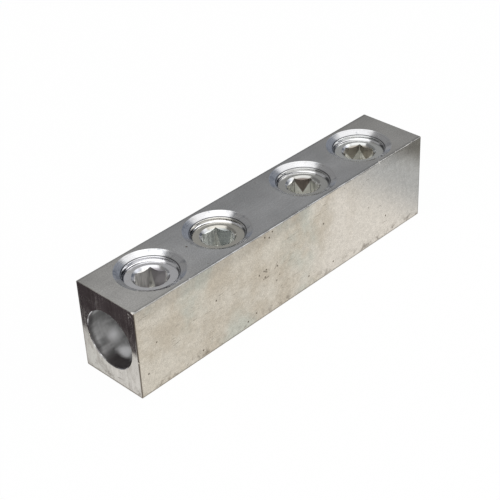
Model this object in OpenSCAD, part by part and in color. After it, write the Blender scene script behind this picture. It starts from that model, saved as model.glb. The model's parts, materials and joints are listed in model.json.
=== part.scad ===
// Set-screw splice for two heavy cables: a plated aluminium bar drilled from
// both ends, with two hex-socket screws over each bore to clamp its cable.
// Millimetres, +Z up, +X along the bar, origin at the middle of its underside.

/* [Cable bores] */
// Diameter of the cable bores where the screws clamp
bore_diameter = 19.05; // [16:0.05:24]
// How much the radius widens at each bore's entry
entry_relief = 0.325; // [0.2:0.025:0.8]
// Length of the taper that leads from the entry into the clamping bore
lead_in = 3; // [0.5:0.1:4]
// How far that taper stops short of the first screw hole
lead_in_gap = 0.2; // [0.1:0.1:1]
// Chamfer round each bore's mouth
mouth_chamfer = 0.2; // [0.1:0.1:1.5]
// Full bore left past the inner screw hole
bore_run_past = 1.6; // [0.4:0.1:4]
// Included angle of the drill point that ends each bore
drill_angle = 135; // [110:1:160]

/* [Bar] */
// Metal beside the bores
side_wall = 3.175; // [2.5:0.025:10]
// Metal under the bores
floor_wall = 6.35; // [3:0.05:15]
// Metal over the bores, tapped for the screws
roof_wall = 6.35; // [4:0.05:15]
// Rounding along the bar's four long edges
edge_radius = 0.4; // [0.1:0.1:0.8]

/* [Screw places] */
// From an end face to the first screw
end_to_screw = 18.15; // [14:0.05:40]
// Between the two screws of one bore
screw_pitch = 28.6; // [24:0.1:50]
// Between the two inner screws, across the solid middle
inner_spacing = 39.85; // [32:0.05:80]

/* [Screw holes] */
// Room between a screw and the bore's sides, so it can run down to the cable
screw_room = 0.795; // [0.5:0.005:2]
// Play between a screw and its hole, on the radius
thread_play = 0.07; // [0.02:0.01:0.1]
// How far each countersink reaches out past its hole
countersink_reach = 2.4; // [0.5:0.1:2.8]
// Depth of the countersinks
countersink_depth = 1.25; // [0.4:0.05:2]

/* [Set screws] */
// Length of a set screw
screw_length = 15.9; // [12:0.1:19]
// How far the screws stand below the bar's top
screw_sink = 2.4; // [1:0.1:4]
// How much the radius shrinks in the chamfer round a screw's top
top_chamfer = 0.35; // [0.2:0.05:1]
// Angle of that chamfer to the screw's axis
top_chamfer_angle = 30; // [20:1:60]
// Length of a screw's tapered tip
tip_length = 2.4; // [0.5:0.1:3.5]
// How much the radius shrinks over the tip
tip_taper = 2.4; // [0.5:0.1:4]

/* [Hex sockets] */
// Hex socket across its flats
socket_flats = 9.525; // [6:0.005:12]
// Depth of the hex flats
socket_depth = 8; // [5:0.1:9]
// How far the chamfer at the socket's mouth reaches past the hex corners
mouth_reach = 0.4; // [0.1:0.05:0.8]
// Included angle of the chamfer at the socket's mouth
mouth_angle = 90; // [70:1:120]
// Included angle of the drill point under the socket
socket_drill_angle = 120; // [100:1:160]
// Turn of each screw's socket, in order along the bar
socket_turns = [49, 53, 14, 36]; // [0:1:59]

/* [Hidden] */
$fn = 96;

// Cutters run this far past the faces they open
over = 1;

bore_radius = bore_diameter / 2;
entry_radius = bore_radius + entry_relief;
screw_radius = bore_radius - screw_room;
hole_radius = screw_radius + thread_play;
countersink_radius = hole_radius + countersink_reach;

body_width = bore_diameter + 2 * side_wall;
body_height = floor_wall + bore_diameter + roof_wall;
body_length = 2 * (end_to_screw + screw_pitch) + inner_spacing;
bore_height = floor_wall + bore_radius;

// Depths into a bore, from its end face
lead_in_end = end_to_screw - hole_radius - lead_in_gap;
entry_depth = lead_in_end - lead_in;
bore_depth = end_to_screw + screw_pitch + hole_radius + bore_run_past;
drill_tip_depth = bore_depth + bore_radius / tan(drill_angle / 2);

inner_x = inner_spacing / 2;
outer_x = inner_x + screw_pitch;
screw_xs = [-outer_x, -inner_x, inner_x, outer_x];
screw_top = body_height - screw_sink;
tip_radius = screw_radius - tip_taper;
top_chamfer_depth = top_chamfer / tan(top_chamfer_angle);

// Outer corners of the hex, and the cone that chamfers its mouth
socket_corners = socket_flats / cos(30);
mouth_radius = socket_corners / 2 + mouth_reach;
mouth_depth = mouth_radius / tan(mouth_angle / 2);
socket_tip = socket_flats / 2 / tan(socket_drill_angle / 2);

// Cross-section of the drawn bar, on its underside, with rounded corners
module bar_section() {
    flat_width = body_width - 2 * edge_radius;
    flat_height = body_height - 2 * edge_radius;
    translate([-flat_width / 2, 0]) square([flat_width, body_height]);
    translate([-body_width / 2, edge_radius]) square([body_width, flat_height]);
    for (side = [-1, 1], level = [edge_radius, body_height - edge_radius])
        translate([side * flat_width / 2, level]) circle(edge_radius);
}

// Bore cut in the -X end: chamfered mouth, wide entry, lead-in, clamping length, drill point
module cable_bore() {
    translate([-body_length / 2, 0, bore_height])
        rotate([0, 90, 0])
            rotate_extrude()
                polygon([
                    [0, -over],
                    [entry_radius + mouth_chamfer + over, -over],
                    [entry_radius, mouth_chamfer],
                    [entry_radius, entry_depth],
                    [bore_radius, lead_in_end],
                    [bore_radius, bore_depth],
                    [0, drill_tip_depth],
                ]);
}

// Screw hole from the bar's top down into the bore, with its countersink
module screw_hole() {
    over_reach = over * countersink_reach / countersink_depth;
    rotate_extrude()
        polygon([
            [0, bore_height],
            [hole_radius, bore_height],
            [hole_radius, body_height - countersink_depth],
            [countersink_radius + over_reach, body_height + over],
            [0, body_height + over],
        ]);
}

module splice_body() {
    color([0.70, 0.68, 0.65])
        difference() {
            rotate([90, 0, 90])
                linear_extrude(body_length, center = true)
                    bar_section();
            cable_bore();
            mirror([1, 0, 0]) cable_bore();
            for (x = screw_xs) translate([x, 0, 0]) screw_hole();
        }
}

// Turned outside of a screw, hanging from its top face at z = 0
module screw_blank() {
    rotate_extrude()
        polygon([
            [0, 0],
            [screw_radius - top_chamfer, 0],
            [screw_radius, -top_chamfer_depth],
            [screw_radius, tip_length - screw_length],
            [tip_radius, -screw_length],
            [0, -screw_length],
        ]);
}

// Broached hex with the drill point under it and the chamfer at its mouth
module hex_socket() {
    translate([0, 0, -socket_depth])
        cylinder(h = socket_depth + over, d = socket_corners, $fn = 6);
    translate([0, 0, -socket_depth - socket_tip])
        cylinder(h = socket_tip, r1 = 0, r2 = socket_flats / 2);
    translate([0, 0, -mouth_depth])
        cylinder(h = 2 * mouth_depth, r1 = 0, r2 = 2 * mouth_radius);
}

module set_screw(index) {
    color([0.77, 0.77, 0.78])
        translate([screw_xs[index], 0, screw_top])
            rotate(socket_turns[index])
                difference() {
                    screw_blank();
                    hex_socket();
                }
}

splice_body();
set_screw(0);  // set_screw_1
set_screw(1);  // set_screw_2
set_screw(2);  // set_screw_3
set_screw(3);  // set_screw_4
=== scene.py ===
import json
import math

import bmesh
import bpy
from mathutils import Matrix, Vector


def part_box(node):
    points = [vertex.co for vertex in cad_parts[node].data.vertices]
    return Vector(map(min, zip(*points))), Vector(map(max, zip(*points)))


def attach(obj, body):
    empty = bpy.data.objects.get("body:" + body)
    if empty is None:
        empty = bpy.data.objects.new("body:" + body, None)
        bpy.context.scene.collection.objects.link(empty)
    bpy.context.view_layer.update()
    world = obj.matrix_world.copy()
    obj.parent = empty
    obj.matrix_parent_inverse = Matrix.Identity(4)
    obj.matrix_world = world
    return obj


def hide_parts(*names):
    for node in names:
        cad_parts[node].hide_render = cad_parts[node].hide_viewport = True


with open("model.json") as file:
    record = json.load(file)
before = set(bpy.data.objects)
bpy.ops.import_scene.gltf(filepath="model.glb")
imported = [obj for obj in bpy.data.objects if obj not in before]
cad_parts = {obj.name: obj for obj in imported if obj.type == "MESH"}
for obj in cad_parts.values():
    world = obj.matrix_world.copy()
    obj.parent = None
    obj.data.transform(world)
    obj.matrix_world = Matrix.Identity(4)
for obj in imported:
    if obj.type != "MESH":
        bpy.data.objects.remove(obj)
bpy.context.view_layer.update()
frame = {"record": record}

# Camera, at the photograph's angle: above the open end's corner, looking down
# along the bar, with a long lens and a slight lean.
camera_place = Vector((-0.24925, -0.24618, 0.25249))
camera_aim = Vector((-0.00530, 0.00114, 0.01588))
camera_lean = math.radians(-2.87)
bpy.ops.object.camera_add(location=camera_place)
camera = bpy.context.object
camera.data.lens = 93.0
camera.data.sensor_width = 36.0
camera.data.shift_x = 0.0012
camera.data.shift_y = -0.0006
camera.data.clip_start = 0.01
camera.rotation_euler = (camera_aim - camera_place).to_track_quat("-Z", "Y").to_euler()
camera.rotation_euler.rotate_axis("Z", camera_lean)
bpy.context.scene.camera = camera
bpy.context.scene.view_settings.view_transform = "Standard"

# The bar: a length of drawn aluminium bar, drilled from both ends for the cables
# and drilled, tapped and countersunk from above for the screws, then tin plated.
# Its long edges keep the die's small radius and its sawn ends are only deburred.
bar_low, bar_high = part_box("splice_body")
bar_size = bar_high - bar_low
bar_middle = (bar_low + bar_high) / 2
long_edge_radius = 0.0004
end_edge_radius = 0.00015
edge_steps = 5
cut_over = 0.001
merge_gap = 1e-7

entry_mount = next(m for m in frame["record"]["mounts"] if m["name"] == "cable_entry_a")
bore_height = entry_mount["pos_m"][2]
entry_radius = entry_mount["dims"]["r_mm"] / 1000
mouth_chamfer = 0.0002
entry_depth = mouth_chamfer + entry_mount["dims"]["length_mm"] / 1000
lead_in = 0.003
clamp_radius = 0.009525
bore_depth = 0.05715
drill_angle = math.radians(135)
drill_tip_depth = bore_depth + clamp_radius / math.tan(drill_angle / 2)

screw_nodes = ["set_screw_1", "set_screw_2", "set_screw_3", "set_screw_4"]
screw_turns = [math.radians(degrees) for degrees in (49, 53, 14, 36)]
screw_axes = [(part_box(node)[0].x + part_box(node)[1].x) / 2 for node in screw_nodes]
screw_low, screw_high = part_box("set_screw_1")
screw_radius = (screw_high.y - screw_low.y) / 2
screw_top = screw_high.z
thread_pitch = 0.0254 / 16
thread_depth_share = 0.6134
thread_depth = thread_depth_share * thread_pitch
thread_play = 0.00007
hole_radius = screw_radius + thread_play
countersink_reach = 0.0024
countersink_radius = hole_radius + countersink_reach
countersink_depth = 0.00125


def take(piece):
    """Makes the piece the only one selected, and the active one."""
    bpy.ops.object.select_all(action="DESELECT")
    piece.select_set(True)
    bpy.context.view_layer.objects.active = piece


def edit(piece):
    take(piece)
    bpy.ops.object.mode_set(mode="EDIT")
    bpy.ops.mesh.select_mode(type="VERT")


def done():
    bpy.ops.object.mode_set(mode="OBJECT")


def pick_edges(piece, wanted):
    mesh = bmesh.from_edit_mesh(piece.data)
    bpy.ops.mesh.select_all(action="DESELECT")
    bpy.ops.mesh.select_mode(type="EDGE")
    for edge in mesh.edges:
        edge.select_set(wanted(edge.verts[0].co, edge.verts[1].co))
    bmesh.update_edit_mesh(piece.data)


def pick_faces(piece, wanted):
    mesh = bmesh.from_edit_mesh(piece.data)
    bpy.ops.mesh.select_all(action="DESELECT")
    bpy.ops.mesh.select_mode(type="FACE")
    for face in mesh.faces:
        face.select_set(wanted(face))
    bmesh.update_edit_mesh(piece.data)


def place(piece, turn=(0, 0, 0), at=(0, 0, 0)):
    """Turns and moves the piece, and puts that place into its mesh."""
    take(piece)
    piece.rotation_euler = turn
    piece.location = at
    bpy.ops.object.transform_apply(location=True, rotation=True, scale=True)


def turned(name, stations, sides=128):
    """A solid turned on the Z axis through (radius, height) stations, in order along it."""
    first_radius, first_height = stations[0]
    bpy.ops.object.select_all(action="DESELECT")
    bpy.ops.mesh.primitive_circle_add(vertices=sides, radius=first_radius, fill_type="NGON")
    piece = bpy.context.object
    piece.name = name
    edit(piece)
    bpy.ops.mesh.select_all(action="SELECT")
    bpy.ops.transform.translate(value=(0, 0, first_height))
    for (radius, height), (next_radius, next_height) in zip(stations, stations[1:]):
        bpy.ops.mesh.extrude_region_move(TRANSFORM_OT_translate={"value": (0, 0, next_height - height)})
        share = next_radius / radius
        bpy.ops.transform.resize(value=(share, share, 1), center_override=(0, 0, next_height))
    bpy.ops.mesh.select_all(action="SELECT")
    bpy.ops.mesh.remove_doubles(threshold=merge_gap)
    bpy.ops.mesh.normals_make_consistent(inside=False)
    done()
    return piece


def threaded_rod(name, root_radius, crest_radius, low, high, sides=96):
    """A rod with a right-hand vee thread, cut square at both ends."""
    rise = crest_radius - root_radius
    flank = rise * math.tan(math.radians(30))
    crest_flat = thread_pitch / 8
    root_flat = thread_pitch - crest_flat - 2 * flank
    run_up = 1.505 * thread_pitch
    spare_turns = 3
    bpy.ops.object.select_all(action="DESELECT")
    bpy.ops.mesh.primitive_plane_add(size=thread_pitch)
    piece = bpy.context.object
    piece.name = name
    edit(piece)
    bpy.ops.mesh.select_all(action="SELECT")
    bpy.ops.mesh.merge(type="CENTER")
    bpy.ops.transform.translate(value=(root_radius, 0, low - run_up))
    for step in ((0, 0, root_flat), (rise, 0, flank), (0, 0, crest_flat), (-rise, 0, flank)):
        bpy.ops.mesh.extrude_region_move(TRANSFORM_OT_translate={"value": step})
    done()
    bpy.ops.object.modifier_add(type="SCREW")
    helix = piece.modifiers[-1]
    helix.axis = "Z"
    helix.steps = sides
    helix.render_steps = sides
    helix.screw_offset = thread_pitch
    helix.iterations = math.ceil((high - low) / thread_pitch) + spare_turns
    helix.use_merge_vertices = True
    helix.merge_threshold = merge_gap
    bpy.ops.object.modifier_apply(modifier=helix.name)
    edit(piece)
    bpy.ops.mesh.select_all(action="SELECT")
    bpy.ops.mesh.remove_doubles(threshold=merge_gap)
    for height, side in ((high, "clear_outer"), (low, "clear_inner")):
        bpy.ops.mesh.select_all(action="SELECT")
        bpy.ops.mesh.bisect(
            plane_co=(0, 0, height), plane_no=(0, 0, 1), use_fill=True, threshold=1e-9, **{side: True}
        )
    bpy.ops.mesh.select_all(action="SELECT")
    bpy.ops.mesh.normals_make_consistent(inside=False)
    done()
    return piece


def combine(piece, tool, operation):
    """Cuts the piece with the tool, or keeps what they share, and clears the tool away."""
    take(piece)
    bpy.ops.object.modifier_add(type="BOOLEAN")
    cut = piece.modifiers[-1]
    cut.operation = operation
    cut.solver = "EXACT"
    cut.object = tool
    bpy.ops.object.modifier_apply(modifier=cut.name)
    bpy.data.objects.remove(tool)


def bruise(piece, point, normal, size):
    """Shaves an edge or a corner flat, square to the normal, through the point."""
    normal = Vector(normal).normalized()
    bpy.ops.object.select_all(action="DESELECT")
    bpy.ops.mesh.primitive_cube_add(
        size=size,
        location=Vector(point) + normal * size / 2,
        rotation=normal.to_track_quat("Z", "Y").to_euler(),
    )
    combine(piece, bpy.context.object, "DIFFERENCE")


def dint(piece, point, radius):
    """Presses a small round hollow into the piece."""
    bpy.ops.object.select_all(action="DESELECT")
    bpy.ops.mesh.primitive_ico_sphere_add(subdivisions=3, radius=radius, location=point)
    combine(piece, bpy.context.object, "DIFFERENCE")


def finish_surface(piece, sharp_degrees):
    """Smooths the round faces and keeps the flats flat."""
    edit(piece)
    bpy.ops.mesh.select_all(action="SELECT")
    bpy.ops.mesh.remove_doubles(threshold=merge_gap)
    bpy.ops.mesh.normals_make_consistent(inside=False)
    bpy.ops.mesh.quads_convert_to_tris(quad_method="BEAUTY", ngon_method="BEAUTY")
    done()
    bpy.ops.object.shade_smooth_by_angle(angle=math.radians(sharp_degrees))
    bpy.ops.object.modifier_add(type="WEIGHTED_NORMAL")
    weights = piece.modifiers[-1]
    weights.keep_sharp = True
    weights.weight = 100
    bpy.ops.object.modifier_apply(modifier=weights.name)


bpy.ops.object.select_all(action="DESELECT")
bpy.ops.mesh.primitive_cube_add(
    size=1,
    location=bar_middle,
    scale=(bar_size.x - 2 * end_edge_radius, bar_size.y, bar_size.z),
)
bar = bpy.context.object
bar.name = "splice_bar"
bpy.ops.object.transform_apply(location=True, rotation=True, scale=True)
edit(bar)
pick_edges(bar, lambda a, b: abs(a.x - b.x) > bar_size.x / 2)
bpy.ops.mesh.bevel(offset=long_edge_radius, segments=edge_steps, affect="EDGES")
for end in (-1, 1):
    pick_faces(bar, lambda face: face.normal.x * end > 0.9)
    reach = inset = 0
    for step in range(1, edge_steps + 1):
        lean = math.radians(90 * step / edge_steps)
        next_reach = end_edge_radius * math.sin(lean)
        next_inset = end_edge_radius * (1 - math.cos(lean))
        step_out = (end * (next_reach - reach), 0, 0)
        bpy.ops.mesh.extrude_region_move(TRANSFORM_OT_translate={"value": step_out})
        shrink = [(side - 2 * next_inset) / (side - 2 * inset) for side in (bar_size.y, bar_size.z)]
        bpy.ops.transform.resize(value=(1, *shrink), center_override=bar_middle)
        reach, inset = next_reach, next_inset
done()

# Wear on the bar: a knocked corner over the open end, small bruises along the front top
# edge, and dints in the end face, the bore's mouth, the near upright edge and the top edge.
knock_lean = Vector((-0.33, -0.33, 0.88))
knock_depth = 0.00042
knock_size = 0.004
knocked_corner = Vector((bar_low.x, bar_low.y, bar_high.z))
bruise(bar, knocked_corner - knock_lean * knock_depth, knock_lean, knock_size)
edge_bruise_size = 0.001
edge_bruises = [
    (-0.0439, 0.00016), (0.0044, 0.00012), (0.0086, 0.00012),
    (0.0444, 0.00030), (0.0532, 0.00018), (0.0619, 0.00018),
]
for along_bar, depth in edge_bruises:
    on_edge = Vector((along_bar, bar_low.y, bar_high.z))
    bruise(bar, on_edge - knock_lean * depth, knock_lean, edge_bruise_size)
dints = [
    ((bar_low.x - 0.0014, -0.0106, 0.0299), 0.0016),
    ((bar_low.x, 0.00975, 0.0131), 0.0004),
    ((bar_low.x, bar_low.y, 0.0137), 0.00045),
    ((0.0229, bar_low.y, bar_high.z), 0.0004),
]
for point, radius in dints:
    dint(bar, point, radius)

# Bores and screw holes: each bore has a chamfered mouth, a wide entry, a short taper and
# a drill point. Each screw hole is countersunk, and tapped down into its bore.
bore_stations = [
    (entry_radius + mouth_chamfer + cut_over, -cut_over),
    (entry_radius, mouth_chamfer),
    (entry_radius, entry_depth),
    (clamp_radius, entry_depth + lead_in),
    (clamp_radius, bore_depth),
    (0, drill_tip_depth),
]
for end in (-1, 1):
    drill = turned("drill", bore_stations)
    place(drill, turn=(0, -end * math.pi / 2, 0), at=(end * bar_size.x / 2, 0, bore_height))
    combine(bar, drill, "DIFFERENCE")

thread_top = screw_top - 0.0003
tap_overlap = 0.0001
tap_radius = hole_radius - 0.00002
rim_run = cut_over * countersink_reach / countersink_depth
hole_stations = [
    (hole_radius, thread_top),
    (hole_radius, bar_high.z - countersink_depth),
    (countersink_radius + rim_run, bar_high.z + cut_over),
]
for axis, turn in zip(screw_axes, screw_turns):
    countersink = turned("countersink", hole_stations)
    place(countersink, at=(axis, 0, 0))
    combine(bar, countersink, "DIFFERENCE")
    tap = threaded_rod("tap", tap_radius - thread_depth, tap_radius, bore_height, thread_top + tap_overlap)
    place(tap, turn=(0, 0, turn), at=(axis, 0, 0))
    combine(bar, tap, "DIFFERENCE")

finish_surface(bar, sharp_degrees=20)


def add_node(tree, kind, inputs, **settings):
    """Adds a shader node. An input that is a socket is linked, any other is set."""
    node = tree.nodes.new("ShaderNode" + kind)
    for name, value in settings.items():
        setattr(node, name, value)
    for key, value in inputs.items():
        if isinstance(value, bpy.types.NodeSocket):
            tree.links.new(value, node.inputs[key])
        else:
            node.inputs[key].default_value = value
    return node


def calc(tree, operation, first, second=0.0):
    return add_node(tree, "Math", {0: first, 1: second}, operation=operation).outputs[0]


def times(tree, first, second):
    return calc(tree, "MULTIPLY", first, second)


def plus(tree, first, second):
    return calc(tree, "ADD", first, second)


def minus(tree, first, second):
    return calc(tree, "SUBTRACT", first, second)


def larger(tree, first, second):
    return calc(tree, "MAXIMUM", first, second)


def ramp(tree, value, low, high, start=0.0, end=1.0):
    """Runs smoothly from start to end while the value goes from low to high."""
    inputs = {"Value": value, "From Min": low, "From Max": high, "To Min": start, "To Max": end}
    return add_node(tree, "MapRange", inputs, interpolation_type="SMOOTHSTEP").outputs[0]


def layer(tree, share, below, above):
    return add_node(tree, "Mix", {0: share, 6: below, 7: above}, data_type="RGBA").outputs[2]


def shaded(tree, colour, value, low, high, start, end):
    """Scales a colour by a factor that runs from start to end as the value goes from low to high."""
    factor = ramp(tree, value, low, high, start, end)
    return add_node(tree, "VectorMath", {0: colour, "Scale": factor}, operation="SCALE").outputs[0]


def mottle(tree, spot, scale, detail=4.0, roughness=0.55):
    inputs = {"Vector": spot, "Scale": scale, "Detail": detail, "Roughness": roughness}
    return add_node(tree, "TexNoise", inputs).outputs[0]


def stretched(tree, spot, scale, shift=(0, 0, 0), turn=(0, 0, 0)):
    inputs = {"Vector": spot, "Scale": scale, "Location": shift, "Rotation": turn}
    return add_node(tree, "Mapping", inputs).outputs[0]


def streaks(tree, spot, scale, detail=4.0, roughness=0.55):
    """A mottle drawn out along the axes with the smaller scales."""
    return mottle(tree, stretched(tree, spot, scale), 1.0, detail, roughness)


def tool_rings(tree, away, scale):
    """Fine rings round an axis, by the distance from it."""
    inputs = {"W": away, "Scale": scale, "Detail": 3.0}
    return add_node(tree, "TexNoise", inputs, noise_dimensions="1D").outputs[0]


def axes_of(tree, spot):
    return add_node(tree, "SeparateXYZ", {"Vector": spot}).outputs


def from_nearest(tree, spot, points):
    """How far a spot is from the nearest of some points."""
    nearest = 1.0
    for point in points:
        away = add_node(tree, "VectorMath", {0: spot, 1: point}, operation="DISTANCE").outputs["Value"]
        nearest = calc(tree, "MINIMUM", away, nearest)
    return nearest


def new_finish(name, metallic=1.0):
    material = bpy.data.materials.new(name)
    material.use_nodes = True
    shader = material.node_tree.nodes["Principled BSDF"]
    shader.inputs["Metallic"].default_value = metallic
    spot = add_node(material.node_tree, "TexCoord", {}).outputs["Object"]
    return material, material.node_tree, shader, spot


def set_finish(tree, shader, colour, roughness, height, depth):
    tree.links.new(colour, shader.inputs["Base Color"])
    tree.links.new(roughness, shader.inputs["Roughness"])
    bump = add_node(tree, "Bump", {"Height": height, "Distance": depth, "Strength": 1.0})
    tree.links.new(bump.outputs[0], shader.inputs["Normal"])


# Tin plate on the bar's outside: tarnished in warm and greenish blotches on the sides, which a painted
# reflection pales in the far half, plainer grey with the drawing grain on top, and streaked on the sawn ends,
# with painted shade along the top edges and in other places, dark specks and scratches, brown stains, and a
# painted shadow along the foot.
plate, tree, shader, spot = new_finish("tin_plate")
along, across, up = axes_of(tree, spot)
end_gap = minus(tree, bar_size.x / 2, calc(tree, "ABSOLUTE", along))
side_gap = minus(tree, bar_size.y / 2, calc(tree, "ABSOLUTE", across))
cloud = mottle(tree, spot, 620, 5, 0.7)
grit = mottle(tree, spot, 2300, 3, 0.6)

# Sides, with painted shade under the top edge in the near half and by the far end, and paled in the far half
# by a painted reflection
warm_tarnish = (0.520, 0.465, 0.380, 1)
light_tarnish = (0.605, 0.560, 0.480, 1)
green_bloom = (0.515, 0.515, 0.450, 1)
pale_reflection = (0.685, 0.638, 0.570, 1)
blotch = ramp(tree, mottle(tree, spot, 75, 5, 0.62), 0.36, 0.64)
sides = layer(tree, blotch, warm_tarnish, light_tarnish)
bloom_spot = stretched(tree, spot, (1, 1, 1), shift=(0.3, 0.1, 0.2))
bloom = ramp(tree, mottle(tree, bloom_spot, 50), 0.50, 0.68)
sides = layer(tree, bloom, sides, green_bloom)
uneven_along = plus(tree, along, times(tree, blotch, 0.012))
sides = layer(tree, ramp(tree, uneven_along, 0.008, 0.040, 0.0, 0.9), sides, pale_reflection)
shaded_runs = larger(tree, ramp(tree, along, 0.014, 0.002), ramp(tree, along, 0.040, 0.056))
high_shade = times(tree, ramp(tree, up, 0.0255, 0.0295), shaded_runs)
sides = shaded(tree, sides, high_shade, 0.0, 1.0, 1.0, 0.84)
sides = shaded(tree, sides, cloud, 0.25, 0.75, 0.88, 1.09)
sides = shaded(tree, sides, grit, 0.25, 0.75, 0.86, 1.12)

# Top, with a painted reflection that lightens it towards the open end and the front, and painted shade along
# its long edges
end_grey = (0.495, 0.487, 0.470, 1)
middle_grey = (0.485, 0.489, 0.497, 1)
smudge_grey = (0.42, 0.42, 0.40, 1)
grain = streaks(tree, spot, (45, 1500, 1500))
top = layer(tree, ramp(tree, end_gap, 0.012, 0.035), end_grey, middle_grey)
top = shaded(tree, top, along, -0.066, -0.010, 1.13, 0.97)
top = shaded(tree, top, across, -0.004, 0.0115, 1.03, 0.86)
top = shaded(tree, top, grain, 0.25, 0.75, 0.965, 1.03)
top = shaded(tree, top, grit, 0.25, 0.75, 0.84, 1.12)
top = layer(tree, ramp(tree, cloud, 0.5, 0.8, 0.0, 0.5), top, smudge_grey)
top = shaded(tree, top, mottle(tree, spot, 75, 3), 0.3, 0.7, 0.92, 1.07)
top = shaded(tree, top, side_gap, 0.0004, 0.0012, 0.74, 1.0)
on_top = ramp(tree, up, bar_high.z - 0.0005, bar_high.z - 0.0001)
colour = layer(tree, on_top, sides, top)

# Long top edges, with painted shade over their highlight in places, more so in the far half
edge_shade_grey = (0.16, 0.155, 0.15, 1)
edge_gap = larger(tree, side_gap, minus(tree, bar_high.z, up))
edge_shade_places = ramp(tree, mottle(tree, spot, 190, 4, 0.7), 0.40, 0.58)
edge_shade = times(tree, ramp(tree, edge_gap, 0.00045, 0.00030), edge_shade_places)
edge_shade = times(tree, edge_shade, ramp(tree, along, -0.035, 0.0, 0.45, 0.75))
colour = layer(tree, edge_shade, colour, edge_shade_grey)

# Sawn ends, with upright saw marks and scuffs, and painted shade towards the back
sawn_metal = (0.570, 0.545, 0.505)
sawn_bloom = (0.52, 0.51, 0.47, 1)
scuff_brown = (0.31, 0.285, 0.255, 1)
saw_marks = streaks(tree, spot, (1, 1800, 90))
sawn = shaded(tree, sawn_metal, saw_marks, 0.25, 0.75, 0.82, 1.12)
sawn = shaded(tree, sawn, across, 0.004, 0.012, 1.0, 0.80)
sawn = layer(tree, bloom, sawn, sawn_bloom)
scuff = ramp(tree, streaks(tree, spot, (1, 240, 170), 5, 0.7), 0.47, 0.66)
sawn = layer(tree, times(tree, scuff, 0.65), sawn, scuff_brown)
on_end = ramp(tree, end_gap, 0.0003, 0.0001)
colour = layer(tree, on_end, colour, sawn)

# Single specks and scratches on the front, by place along the bar and height, and one on top
front_specks = [
    (-0.0342, 0.0182), (-0.0172, 0.0037), (-0.0210, 0.0025), (-0.0100, 0.0290), (0.0155, 0.0214),
    (-0.0068, 0.0166), (-0.0151, 0.0172), (-0.0119, 0.0178), (-0.0410, 0.0030), (0.0080, 0.0045),
    (0.0480, 0.0086), (-0.0120, 0.0300), (-0.0085, 0.0305),
]
speck_points = [(along_bar, bar_low.y, height) for along_bar, height in front_specks]
speck_points.append((-0.0330, 0.0004, bar_high.z))
ragged = times(tree, mottle(tree, spot, 1600, 3), 0.0003)
speck_gap = plus(tree, from_nearest(tree, spot, speck_points), ragged)
single_specks = ramp(tree, speck_gap, 0.00062, 0.00034)
front_scratches = [
    ((-0.0068, 0.0180), (-0.0080, 0.0161)),
    ((-0.0131, 0.0178), (-0.0117, 0.0168)),
    ((-0.0110, 0.0147), (-0.0133, 0.0147)),
]
scratch_points = []
for (from_x, from_z), (to_x, to_z) in front_scratches:
    for share in (0, 0.25, 0.5, 0.75, 1):
        height = from_z + share * (to_z - from_z)
        scratch_points.append((from_x + share * (to_x - from_x), bar_low.y, height))
scratch_gap = plus(tree, from_nearest(tree, spot, scratch_points), times(tree, ragged, 0.5))
single_scratches = ramp(tree, scratch_gap, 0.00040, 0.00018)

# Fine scratches on the sides and ends, and fine specks all over, both in patches
fine_scratches = 0.0
for lean, shift in ((50, 0.0), (-35, 0.4), (10, 0.8)):
    slanted = stretched(tree, spot, (170, 170, 2100), (shift, 0, 0), (0, math.radians(lean), 0))
    fine_scratches = larger(tree, ramp(tree, mottle(tree, slanted, 1.0, 2), 0.66, 0.72), fine_scratches)
worn_spot = stretched(tree, spot, (1, 1, 1), shift=(0.7, 0, 0))
worn_area = ramp(tree, mottle(tree, worn_spot, 85, 2), 0.52, 0.62)
fine_scratches = times(tree, fine_scratches, minus(tree, worn_area, on_top))
cells = add_node(tree, "TexVoronoi", {"Vector": spot, "Scale": 150.0}).outputs
speckled_area = ramp(tree, mottle(tree, spot, 130, 2), 0.50, 0.62)
fine_specks = times(tree, ramp(tree, cells["Distance"], 0.075, 0.035), speckled_area)

# Stain up from the foot and on the upright end edges, and a painted shadow along the foot
stain_and_shadow_brown = (0.115, 0.090, 0.065, 1)
stain_places = ramp(tree, mottle(tree, spot, 330, 5, 0.7), 0.48, 0.66)
low_stain = times(tree, ramp(tree, up, 0.0045, 0.0012), stain_places)
edge_stain = times(tree, ramp(tree, end_gap, 0.0005, 0.0001), ramp(tree, side_gap, 0.0005, 0.0001))
marks = [
    (fine_specks, 0.8), (low_stain, 0.6), (edge_stain, 0.9),
    (single_specks, 0.9), (fine_scratches, 0.5), (single_scratches, 0.75),
]
# A painted shadow: a dark line along the foot
dirt_and_shade = ramp(tree, up, 0.0009, 0.0004, 0.0, 0.65)
for mark, strength in marks:
    dirt_and_shade = larger(tree, dirt_and_shade, times(tree, mark, strength))
colour = layer(tree, dirt_and_shade, colour, stain_and_shadow_brown)
roughness = ramp(tree, mottle(tree, spot, 210), 0.3, 0.7, 0.16, 0.27)
saw_shine = ramp(tree, saw_marks, 0.42, 0.70, -0.09, 0.07)
roughness = plus(tree, roughness, times(tree, on_end, saw_shine))
roughness = plus(tree, roughness, times(tree, dirt_and_shade, 0.3))
set_finish(tree, shader, colour, roughness, cloud, 0.000012)

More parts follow.
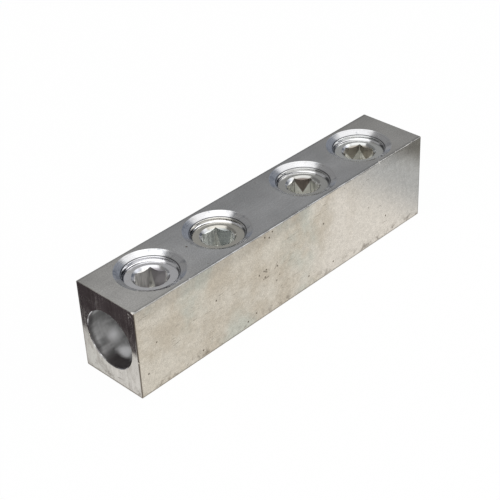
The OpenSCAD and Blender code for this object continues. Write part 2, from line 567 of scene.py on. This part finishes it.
# Bore walls: drilled, then plated, so matt grey with faint rings from the drill. Dirt and painted shade
# darken the floor just inside each mouth, painted shade darkens the wall near each mouth, and painted light
# pales the wall in patches further in.
drilled_grey = (0.62, 0.62, 0.615)
bore_dirt_and_shade = (0.10, 0.09, 0.09, 1)
lit_patch_pale = (0.93, 0.93, 0.94, 1)
wall_metallic = 0.7
lit_patch_metallic = 0.1
bored, tree, shader, spot = new_finish("drilled_wall", metallic=wall_metallic)
along, across, up = axes_of(tree, spot)
depth = minus(tree, bar_size.x / 2, calc(tree, "ABSOLUTE", along))
drill_rings = streaks(tree, spot, (1400, 25, 25), 3)
smear = streaks(tree, spot, (110, 260, 260))
colour = shaded(tree, drilled_grey, drill_rings, 0.25, 0.75, 0.93, 1.04)
colour = shaded(tree, colour, smear, 0.35, 0.65, 0.65, 1.3)
by_mouth = ramp(tree, plus(tree, depth, times(tree, smear, 0.004)), 0.0082, 0.0060)
on_floor = ramp(tree, up, 0.0135, 0.0075)
on_floor = times(tree, on_floor, ramp(tree, across, 0.0065, 0.0020, 0.25, 1.0))
# Painted shade round the wall near each mouth
rim_shade = ramp(tree, plus(tree, depth, times(tree, smear, 0.003)), 0.0040, 0.0022, 0.0, 0.75)
dirt_and_shade = larger(tree, times(tree, by_mouth, on_floor), rim_shade)
colour = layer(tree, dirt_and_shade, colour, bore_dirt_and_shade)
# Painted light: pale patches on the wall further in, less metallic and rougher
lit_patch_points = [
    (-0.0590, 0.0074, 0.0100), (-0.0592, 0.0018, 0.0065),
    (0.0590, -0.0070, 0.0096), (0.0585, 0.0010, 0.0064),
]
lit_patch_gap = plus(tree, from_nearest(tree, spot, lit_patch_points), times(tree, smear, 0.007))
lit_patch = ramp(tree, lit_patch_gap, 0.0070, 0.0036)
colour = layer(tree, lit_patch, colour, lit_patch_pale)
metallic = ramp(tree, lit_patch, 0.0, 1.0, wall_metallic, lit_patch_metallic)
tree.links.new(metallic, shader.inputs["Metallic"])
roughness = ramp(tree, smear, 0.3, 0.7, 0.46, 0.62)
roughness = plus(tree, roughness, times(tree, lit_patch, 0.25))
set_finish(tree, shader, colour, roughness, drill_rings, 0.000010)

# Countersinks, tapped holes and the chamfers round the bores' mouths: bright cut metal
# with fine rings from the tool. It is tarnished in patches, with painted shade towards the open end, a line
# of painted shade where each countersink meets its hole, and the hole's wall painted bright as a highlight.
cut_bright = (0.72, 0.72, 0.73)
cut_smudge = (0.46, 0.45, 0.43, 1)
cut_tarnish = (0.30, 0.32, 0.35, 1)
shade_dark = (0.05, 0.05, 0.055, 1)
wall_highlight = (0.93, 0.93, 0.94, 1)
left_shade_grey = (0.33, 0.33, 0.33, 1)
bore_mouth_dark = (0.16, 0.15, 0.15, 1)
cut_metal, tree, shader, spot = new_finish("countersink_cut")
along = axes_of(tree, spot)["X"]
up = axes_of(tree, spot)["Z"]
plan = stretched(tree, spot, (1, 1, 0))
away = from_nearest(tree, plan, [(axis, 0, 0) for axis in screw_axes])
rings = tool_rings(tree, away, 5200.0)
cloud = mottle(tree, spot, 420)
colour = shaded(tree, cut_bright, rings, 0.25, 0.75, 0.90, 1.05)
colour = layer(tree, ramp(tree, cloud, 0.52, 0.75, 0.0, 0.45), colour, cut_smudge)
tarnish_spot = stretched(tree, spot, (1, 1, 1), shift=(0.2, 0.5, 0))
tarnish = ramp(tree, mottle(tree, tarnish_spot, 240, 4, 0.65), 0.52, 0.66)
colour = layer(tree, times(tree, tarnish, 0.6), colour, cut_tarnish)

# The painted shade line fades nearest the camera; the hole's wall is a painted highlight, and over a screw it
# has painted shade at the two sides of the gap
side_step = hole_radius * math.sqrt(0.5)
hole_rim = bar_high.z - countersink_depth
near_points = [(axis - side_step, -side_step, hole_rim) for axis in screw_axes]
rim_shade_line = ramp(tree, away, hole_radius + 0.00004, hole_radius + 0.00008)
rim_shade_line = times(tree, rim_shade_line, ramp(tree, away, hole_radius + 0.00042, hole_radius + 0.00028))
rim_shade_line = times(tree, rim_shade_line, ramp(tree, from_nearest(tree, spot, near_points), 0.0080, 0.0110, 0.2, 1.0))
colour = layer(tree, times(tree, rim_shade_line, 0.95), colour, shade_dark)
on_wall = ramp(tree, away, hole_radius + 0.00006, hole_radius + 0.00001)
colour = layer(tree, on_wall, colour, wall_highlight)
gap_points = [(axis + way * side_step, -way * side_step, screw_top) for axis in screw_axes for way in (-1, 1)]
gap_shade = times(tree, on_wall, ramp(tree, from_nearest(tree, spot, gap_points), 0.0052, 0.0034, 0.0, 0.7))
gap_shade = times(tree, gap_shade, ramp(tree, up, screw_top + 0.0007, screw_top + 0.0001))
colour = layer(tree, gap_shade, colour, shade_dark)

# Painted shade on each countersink's side towards the open end, and painted shade in patches that breaks up
# the highlight on the bores' mouths
left_shade_points = [(axis - 0.0100, 0, bar_high.z - 0.0007) for axis in screw_axes]
left_shade = ramp(tree, from_nearest(tree, spot, left_shade_points), 0.0050, 0.0030)
colour = layer(tree, times(tree, left_shade, 0.85), colour, left_shade_grey)
end_reach = calc(tree, "ABSOLUTE", along)
at_mouth = ramp(tree, end_reach, bar_size.x / 2 - 0.0006, bar_size.x / 2 - 0.0003)
bore_mouth_shade = times(tree, at_mouth, ramp(tree, cloud, 0.44, 0.56, 0.85, 0.15))
colour = layer(tree, bore_mouth_shade, colour, bore_mouth_dark)
roughness = ramp(tree, rings, 0.25, 0.75, 0.13, 0.22)
roughness = minus(tree, roughness, times(tree, on_wall, 0.02))
roughness = plus(tree, roughness, times(tree, left_shade, 0.35))
set_finish(tree, shader, colour, roughness, rings, 0.000006)

bar_finishes = [plate, bored, cut_metal]
for finish in bar_finishes:
    bar.data.materials.append(finish)
face_gap = 1e-5
top_face_gap = 1e-6
for face in bar.data.polygons:
    x, y, z = face.center
    off_screw = min(math.hypot(x - axis, y) for axis in screw_axes)
    off_bore = math.hypot(y, z - bore_height)
    in_hole = off_screw < hole_radius + face_gap and z > bore_height
    in_countersink = off_screw < countersink_radius and hole_rim < z < bar_high.z - top_face_gap
    in_bore = off_bore < entry_radius + mouth_chamfer - face_gap
    on_mouth = in_bore and off_bore > entry_radius + face_gap
    if in_hole or in_countersink or on_mouth:
        face.material_index = bar_finishes.index(cut_metal)
    elif in_bore:
        face.material_index = bar_finishes.index(bored)
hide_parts("splice_body")
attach(bar, "splice_body")

# The set screws: turned from aluminium bar, threaded over their whole length, with
# a broached hex socket above and a tapered tip below. Each is run down its hole
# to its own turn. One is modelled and copied for all four.
top_chamfer = 0.00035
top_chamfer_depth = top_chamfer / math.tan(math.radians(30))
tip_length = 0.0024
tip_taper = 0.0024
socket_flats = 0.009525
socket_depth = 0.008
socket_drill_angle = math.radians(120)
socket_tip = socket_flats / 2 / math.tan(socket_drill_angle / 2)
socket_corner_radius = socket_flats / 2 / math.cos(math.radians(30))
socket_mouth_radius = socket_corner_radius + 0.0004

blank = turned("blank", [
    (screw_radius - tip_taper, screw_low.z),
    (screw_radius, screw_low.z + tip_length),
    (screw_radius, screw_top - top_chamfer_depth),
    (screw_radius - top_chamfer, screw_top),
])

bpy.ops.object.select_all(action="DESELECT")
bpy.ops.mesh.primitive_cylinder_add(
    vertices=6,
    radius=socket_corner_radius,
    depth=socket_depth + cut_over,
    rotation=(0, 0, math.radians(30)),
    location=(0, 0, screw_top + (cut_over - socket_depth) / 2),
)
broach = bpy.context.object
bpy.ops.object.transform_apply(location=True, rotation=True, scale=True)
combine(blank, broach, "DIFFERENCE")
socket_floor = screw_top - socket_depth
drill_point = turned("drill_point", [
    (socket_flats / 2, socket_floor + 0.0002),
    (socket_flats / 2, socket_floor),
    (0, socket_floor - socket_tip),
])
combine(blank, drill_point, "DIFFERENCE")
mouth_start = 0.001
mouth = turned("mouth", [
    (mouth_start, screw_top - socket_mouth_radius + mouth_start),
    (socket_mouth_radius + cut_over, screw_top + cut_over),
])
combine(blank, mouth, "DIFFERENCE")
thread = threaded_rod(
    "thread", screw_radius - thread_depth, screw_radius, screw_low.z - cut_over, screw_top + cut_over
)
combine(blank, thread, "INTERSECT")
finish_surface(blank, sharp_degrees=25)


def round_axis(axis, radius, ways):
    """Points on a circle round a screw's axis, seen from above, at the given angles."""
    return [(axis + radius * math.cos(way), radius * math.sin(way), 0) for way in ways]


def screw_finish(name, axis, turn, look):
    """Bright turned metal with a socket stained in patches, with painted shade on some flats, in its corners
    and in the gap round the screw, and painted highlights in wedges from its corners.
    """
    turned_smudge = (0.54, 0.52, 0.47, 1)
    wedge_highlight = (0.86, 0.86, 0.82, 1)
    corner_shade_dark = (0.06, 0.055, 0.05, 1)
    mouth_shade = (0.27, 0.28, 0.31, 1)
    material, tree, shader, spot = new_finish(name)
    up = axes_of(tree, spot)["Z"]
    plan = stretched(tree, spot, (1, 1, 0))
    away = from_nearest(tree, plan, [(axis, 0, 0)])
    rings = tool_rings(tree, away, 4200.0)
    cloud = mottle(tree, spot, 380)
    broached = streaks(tree, spot, (1500, 1500, 45))

    # Turned face
    colour = shaded(tree, look["face"], rings, 0.25, 0.75, 0.92, 1.04)
    colour = layer(tree, ramp(tree, cloud, 0.5, 0.72, 0.0, 0.45), colour, turned_smudge)

    # Socket's flats, with painted shade on some of them and stains in patches, and painted highlights in
    # wedges that widen down from its corners
    wall = shaded(tree, look["wall"], broached, 0.35, 0.65, 0.62, 1.18)
    flat_ways = [turn + math.radians(60 * flat + 30) for flat in look["shaded_flats"]]
    shaded_flat = ramp(tree, from_nearest(tree, plan, round_axis(axis, socket_flats / 2, flat_ways)), 0.0028, 0.0024)
    patches = ramp(tree, mottle(tree, spot, 150, 3), 0.44, 0.60)
    flat_shade_and_stain = larger(tree, times(tree, shaded_flat, 0.95), times(tree, patches, 0.35))
    wall = layer(tree, flat_shade_and_stain, wall, look["flat_shade_and_stain"])
    corner_ways = [turn + math.radians(60 * corner) for corner in range(6)]
    off_corner = from_nearest(tree, plan, round_axis(axis, socket_corner_radius, corner_ways))
    below = minus(tree, screw_top - look["wedge_start"], up)
    off_wedge = minus(tree, off_corner, times(tree, below, look["wedge_spread"]))
    wall = layer(tree, ramp(tree, off_wedge, 0.0001, -0.0004, 0.0, look["wedge_share"]), wall, wedge_highlight)
    # Painted shade in the socket's corners
    corner_shade = ramp(tree, off_corner, 0.00032, 0.00010, 0.0, look["corner_share"])
    wall = layer(tree, corner_shade, wall, corner_shade_dark)
    in_socket = ramp(tree, away, 0.0058, 0.0054)
    in_socket = times(tree, in_socket, ramp(tree, up, screw_top - 0.0004, screw_top - 0.0009))
    colour = layer(tree, in_socket, colour, wall)

    # Socket's mouth, with painted shade on the side towards the open end and the back
    mouth_left = round_axis(axis, socket_mouth_radius, [math.radians(135)])
    on_mouth = ramp(tree, away, 0.0060, 0.0058)
    on_mouth = times(tree, on_mouth, ramp(tree, up, screw_top - 0.0010, screw_top - 0.0006))
    left_shade_share = ramp(tree, from_nearest(tree, plan, mouth_left), 0.0058, 0.0042, 0.0, 0.8)
    colour = layer(tree, times(tree, on_mouth, left_shade_share), colour, mouth_shade)

    # Painted shade in the gap round the screw's top, which fades nearest the camera
    nearest = round_axis(axis, screw_radius, [math.radians(225)])
    gap_shade = ramp(tree, away, screw_radius - 0.00048, screw_radius - 0.00036)
    gap_shade = times(tree, gap_shade, ramp(tree, from_nearest(tree, plan, nearest), 0.0080, 0.0110, 0.2, 1.0))
    gap_shade = times(tree, gap_shade, ramp(tree, up, screw_top - 0.0024, screw_top - 0.0014, 0.0, 0.9))
    colour = layer(tree, gap_shade, colour, shade_dark)

    roughness = ramp(tree, cloud, 0.3, 0.7, 0.13, 0.22)
    roughness = plus(tree, roughness, times(tree, in_socket, 0.24))
    height = plus(tree, rings, times(tree, in_socket, times(tree, broached, 0.5)))
    set_finish(tree, shader, colour, roughness, height, 0.000006)
    return material


# Each screw's colours, its flats with painted shade by number, how far down its painted highlight wedges
# start, how fast they widen and how strong they are, and how dark the painted shade in its socket's corners
# is
screw_looks = [
    {
        "face": (0.63, 0.63, 0.65), "wall": (0.84, 0.83, 0.81), "flat_shade_and_stain": (0.34, 0.325, 0.345, 1),
        "shaded_flats": [5], "wedge_start": 0.0008, "wedge_spread": 0.2, "wedge_share": 0.75,
        "corner_share": 0.15,
    },
    {
        "face": (0.51, 0.495, 0.45), "wall": (0.84, 0.85, 0.83), "flat_shade_and_stain": (0.40, 0.425, 0.42, 1),
        "shaded_flats": [5], "wedge_start": 0.0006, "wedge_spread": 0.25, "wedge_share": 0.85,
        "corner_share": 0.1,
    },
    {
        "face": (0.475, 0.475, 0.46), "wall": (0.80, 0.80, 0.77), "flat_shade_and_stain": (0.145, 0.118, 0.105, 1),
        "shaded_flats": [0], "wedge_start": 0.0012, "wedge_spread": 0.6, "wedge_share": 0.95,
        "corner_share": 0.5,
    },
    {
        "face": (0.56, 0.57, 0.56), "wall": (0.82, 0.82, 0.77), "flat_shade_and_stain": (0.31, 0.285, 0.245, 1),
        "shaded_flats": [0, 1, 4, 5], "wedge_start": 0.0022, "wedge_spread": 0.8, "wedge_share": 0.95,
        "corner_share": 0.1,
    },
]
for node, axis, turn, look in zip(screw_nodes, screw_axes, screw_turns, screw_looks):
    screw = blank.copy()
    screw.data = blank.data.copy()
    screw.data.materials.append(screw_finish(node.replace("set", "bright"), axis, turn, look))
    screw.name = "hex_" + node
    bpy.context.scene.collection.objects.link(screw)
    place(screw, turn=(0, 0, turn), at=(axis, 0, 0))
    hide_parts(node)
    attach(screw, node)
bpy.data.objects.remove(blank)

# The stage: a white floor that the bar stands on, two soft boxes, and a dome that is
# white on the camera's side and grey beyond the bar, for the metal to mirror. A dark
# flag and a grey card just over the floor are seen only in the metal.
stage_lift = 0.0005


def bare_tree(owner):
    owner.use_nodes = True
    owner.node_tree.nodes.clear()
    return owner.node_tree


def stage_sheet(name, finish_name, size):
    bpy.ops.object.select_all(action="DESELECT")
    bpy.ops.mesh.primitive_plane_add(size=size)
    sheet = bpy.context.object
    sheet.name = name
    finish = bpy.data.materials.new(finish_name)
    sheet.data.materials.append(finish)
    return sheet, bare_tree(finish)


def only_in_metal(sheet):
    sheet.visible_camera = False
    sheet.visible_diffuse = False
    sheet.visible_shadow = False


floor, tree = stage_sheet("floor", "white_floor", 4)
path = add_node(tree, "LightPath", {}).outputs
seen = larger(tree, times(tree, path["Is Camera Ray"], 0.97), path["Is Glossy Ray"])
paint = add_node(tree, "BsdfDiffuse", {"Color": (0.85, 0.85, 0.85, 1)}).outputs[0]
glow = add_node(tree, "Emission", {"Strength": 1.0}).outputs[0]
surface = add_node(tree, "MixShader", {0: seen, 1: paint, 2: glow}).outputs[0]
add_node(tree, "OutputMaterial", {"Surface": surface})

# The flag's edge, mirrored in the open end, is where the end goes from dark to light
flag_size = 0.4
edge_back = Vector((-0.0778, 0.0281, 0))
edge_front = Vector((-0.0788, 0.0056, 0))
edge_run = (edge_back - edge_front).normalized()
outward = Vector((-edge_run.y, edge_run.x, 0))
flag, tree = stage_sheet("dark_flag", "black_cloth", flag_size)
flag.rotation_euler.z = edge_run.to_2d().angle_signed(Vector((0, 1)))
flag.location = (edge_back + edge_front) / 2 + outward * flag_size / 2 + Vector((0, 0, stage_lift))
cloth = add_node(tree, "BsdfDiffuse", {"Color": (0.085, 0.072, 0.08, 1)}).outputs[0]
add_node(tree, "OutputMaterial", {"Surface": cloth})
only_in_metal(flag)

# The card, mirrored in the front, shades it towards the far end
card_size = 0.4
card_start = 0.053
card_grey = (0.60, 0.64, 0.69, 1)
card_dark = (0.24, 0.245, 0.24, 1)
card, tree = stage_sheet("grey_card", "grey_paper", card_size)
card.location = (card_start + card_size / 2, bar_low.y - stage_lift - card_size / 2, stage_lift)
along = axes_of(tree, add_node(tree, "TexCoord", {}).outputs["Object"])["X"]
start = -card_size / 2
tone = layer(tree, ramp(tree, along, start, start + 0.030), (1, 1, 1, 1), card_grey)
tone = layer(tree, ramp(tree, along, start + 0.0365, start + 0.049), tone, card_dark)
glow = add_node(tree, "Emission", {"Color": tone}).outputs[0]
add_node(tree, "OutputMaterial", {"Surface": glow})
only_in_metal(card)

# The dome, by how far a direction points up, ahead past the bar, and to the right
ahead_way = (0.707, 0.707, 0)
right_way = (0.707, -0.707, 0)
world = bpy.data.worlds.new("studio")
bpy.context.scene.world = world
tree = bare_tree(world)
toward = add_node(tree, "TexCoord", {}).outputs["Generated"]
up = axes_of(tree, toward)["Z"]
ahead = add_node(tree, "VectorMath", {0: toward, 1: ahead_way}, operation="DOT_PRODUCT").outputs["Value"]
aside = add_node(tree, "VectorMath", {0: toward, 1: right_way}, operation="DOT_PRODUCT").outputs["Value"]
backdrop = layer(tree, ramp(tree, aside, -0.13, -0.01), (0.55, 0.55, 0.55, 1), (0.465, 0.465, 0.465, 1))
backdrop = layer(tree, ramp(tree, aside, -0.17, -0.36), backdrop, (0.29, 0.29, 0.29, 1))
backdrop = layer(tree, ramp(tree, aside, 0.17, 0.36), backdrop, (0.27, 0.29, 0.33, 1))
dome = layer(tree, ramp(tree, up, 0.05, 0.30), (0.22, 0.24, 0.28, 1), backdrop)
left_limit = minus(tree, aside, times(tree, ahead, 0.6))
lit = times(tree, ramp(tree, ahead, 0.52, 0.36), ramp(tree, left_limit, -0.50, -0.42))
dome = layer(tree, lit, dome, (1.25, 1.25, 1.25, 1))
path = add_node(tree, "LightPath", {}).outputs
dome_light = add_node(tree, "Background", {"Color": dome}).outputs[0]
clear_light = add_node(tree, "Background", {"Color": (1, 1, 1, 1)}).outputs[0]
surface = add_node(tree, "MixShader", {0: path["Is Camera Ray"], 1: dome_light, 2: clear_light}).outputs[0]
add_node(tree, "OutputWorld", {"Surface": surface})

# Soft boxes, by place, size and energy: one overhead on the camera's side, one to its right
light_aim = Vector((0, 0, 0.02))
soft_boxes = [((-0.2, -0.2, 0.53), 0.8, 0.8), ((0.35, -0.35, 0.34), 0.25, 0.25)]
for light_place, size, energy in soft_boxes:
    bpy.ops.object.light_add(type="AREA", location=light_place)
    soft_box = bpy.context.object
    soft_box.data.shape = "SQUARE"
    soft_box.data.size = size
    soft_box.data.energy = energy
    soft_box.rotation_euler = (light_aim - soft_box.location).to_track_quat("-Z", "Y").to_euler()
